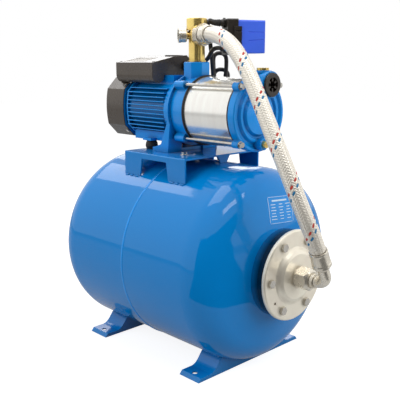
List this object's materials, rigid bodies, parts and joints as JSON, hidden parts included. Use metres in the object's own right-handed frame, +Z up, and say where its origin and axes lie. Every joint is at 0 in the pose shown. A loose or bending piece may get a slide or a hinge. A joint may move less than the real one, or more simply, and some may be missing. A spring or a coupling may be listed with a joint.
{
  "type": "centrifugal water pump",
  "caption": "Horizontal multistage centrifugal pump on a pressure tank, with five-way outlet fitting, pressure switch, gauge, braided hose and mains lead.",
  "frame": {"origin": "on the floor, under the middle of the tank, at the centre of the rectangle of its four foot holes", "axes": "+X along the tank and the pump shaft, from motor to suction side; +Z up; +Y across, towards the pressure switch"},
  "size_m": [0.6166, 0.5174, 0.6372],
  "materials": {
    "tank_paint": "glossy blue enamel",
    "frame_paint": "glossy blue enamel on pressed steel",
    "casting_paint": "blue enamel over a fine cast surface",
    "motor_paint": "blue enamel over die-cast aluminium",
    "zinc_steel": "zinc-plated steel",
    "stainless": "bright rolled stainless steel",
    "brass": "machined brass",
    "satin_fitting": "nickel-plated brass, satin",
    "black_plastic": "fine matt moulding",
    "lid_plastic": "fine matt moulding, brown grey",
    "switch_cover_plastic": "satin violet-blue moulding",
    "clear_lens": "clear moulded lens",
    "white_dial": "printed white dial",
    "rubber": "matt moulded rubber",
    "cable_rubber": "satin black cable sheath",
    "hose_braid": "white braid with coloured tracer threads",
    "core_steel": "stacked electrical steel",
    "copper": "enamelled copper wire",
    "white_plastic": "moulded technopolymer",
    "ceramic": "ground ceramic",
    "bare_steel": "ground steel"
  },
  "bodies": {
    "booster_set": {"air_valve": "brass", "box_cover_screws": "zinc_steel", "braided_hose": "hose_braid", "cable_glands": "black_plastic", "capacitor": "white_plastic", "earth_screw": "zinc_steel", "fan_cover": "lid_plastic", "fan_cover_screws": "zinc_steel", "five_way_fitting": "brass", "flange_bolts": "zinc_steel", "foot_flange_end": "frame_paint", "foot_motor_end": "frame_paint", "gauge_case": "satin_fitting", "gauge_dial": "white_dial", "gauge_lens": "clear_lens", "hose_elbow": "satin_fitting", "hose_ferrules": "satin_fitting", "hose_top_nut": "satin_fitting", "lantern_casting": "casting_paint", "mains_coil": "cable_rubber", "mains_lead": "cable_rubber", "mains_plug": "black_plastic", "motor_bearings": "bare_steel", "motor_end_shield": "motor_paint", "motor_foot": "rubber", "motor_housing": "motor_paint", "motor_lead": "cable_rubber", "pump_bracket": "frame_paint", "pump_hold_down_bolts": "zinc_steel", "seal_seat": "ceramic", "sleeve_gaskets": "rubber", "stage_housings": "white_plastic", "stainless_sleeve": "stainless", "stator_core": "core_steel", "stator_windings": "copper", "suction_casing": "casting_paint", "switch_base": "black_plastic", "switch_cover": "switch_cover_plastic", "switch_mechanism": "zinc_steel", "switch_nipple": "zinc_steel", "tank_flange": "zinc_steel", "tank_membrane": "rubber", "tank_neck_ring": "tank_paint", "tank_shell_flange_end": "tank_paint", "tank_shell_motor_end": "tank_paint", "tank_union_nut": "satin_fitting", "tank_weld_seam": "tank_paint", "terminal_box_base": "lid_plastic", "terminal_box_lid": "lid_plastic", "tie_bolts": "zinc_steel"},
    "rotor": {"pump_shaft": "bare_steel", "rotor_core": "core_steel", "cooling_fan": "black_plastic", "impellers": "white_plastic", "shaft_seal": "bare_steel"},
    "gauge_pointer": {"gauge_needle": "black_plastic"},
    "priming_cap": {"priming_plug": "brass"},
    "suction_cap": {"suction_plug": "black_plastic"},
    "drain_cap": {"drain_plug": "brass"},
    "valve_cap": {"air_valve_cap": "black_plastic"}
  },
  "joints": [
    {"name": "rotor_spin", "type": "hinge", "parent": "booster_set", "child": "rotor", "pos_m": [0, 0, 0.466], "axis": [1, 0, 0], "continuous": true},
    {"name": "gauge_needle_swing", "type": "hinge", "parent": "booster_set", "child": "gauge_pointer", "pos_m": [0.013, 0, 0.605], "axis": [0.5592, 0.829, 0], "range_deg": [0, 270], "stiffness_Nm_per_rad": 0.0002},
    {"name": "priming_plug_lift", "type": "slide", "parent": "booster_set", "child": "priming_cap", "axis": [0, 0, 1], "range_m": [0, 0.02]},
    {"name": "suction_plug_draw", "type": "slide", "parent": "booster_set", "child": "suction_cap", "axis": [1, 0, 0], "range_m": [0, 0.03]},
    {"name": "drain_plug_draw", "type": "slide", "parent": "booster_set", "child": "drain_cap", "axis": [1, 0, 0], "range_m": [0, 0.025]},
    {"name": "valve_cap_draw", "type": "slide", "parent": "booster_set", "child": "valve_cap", "axis": [-1, 0, 0], "range_m": [0, 0.04]}
  ]
}
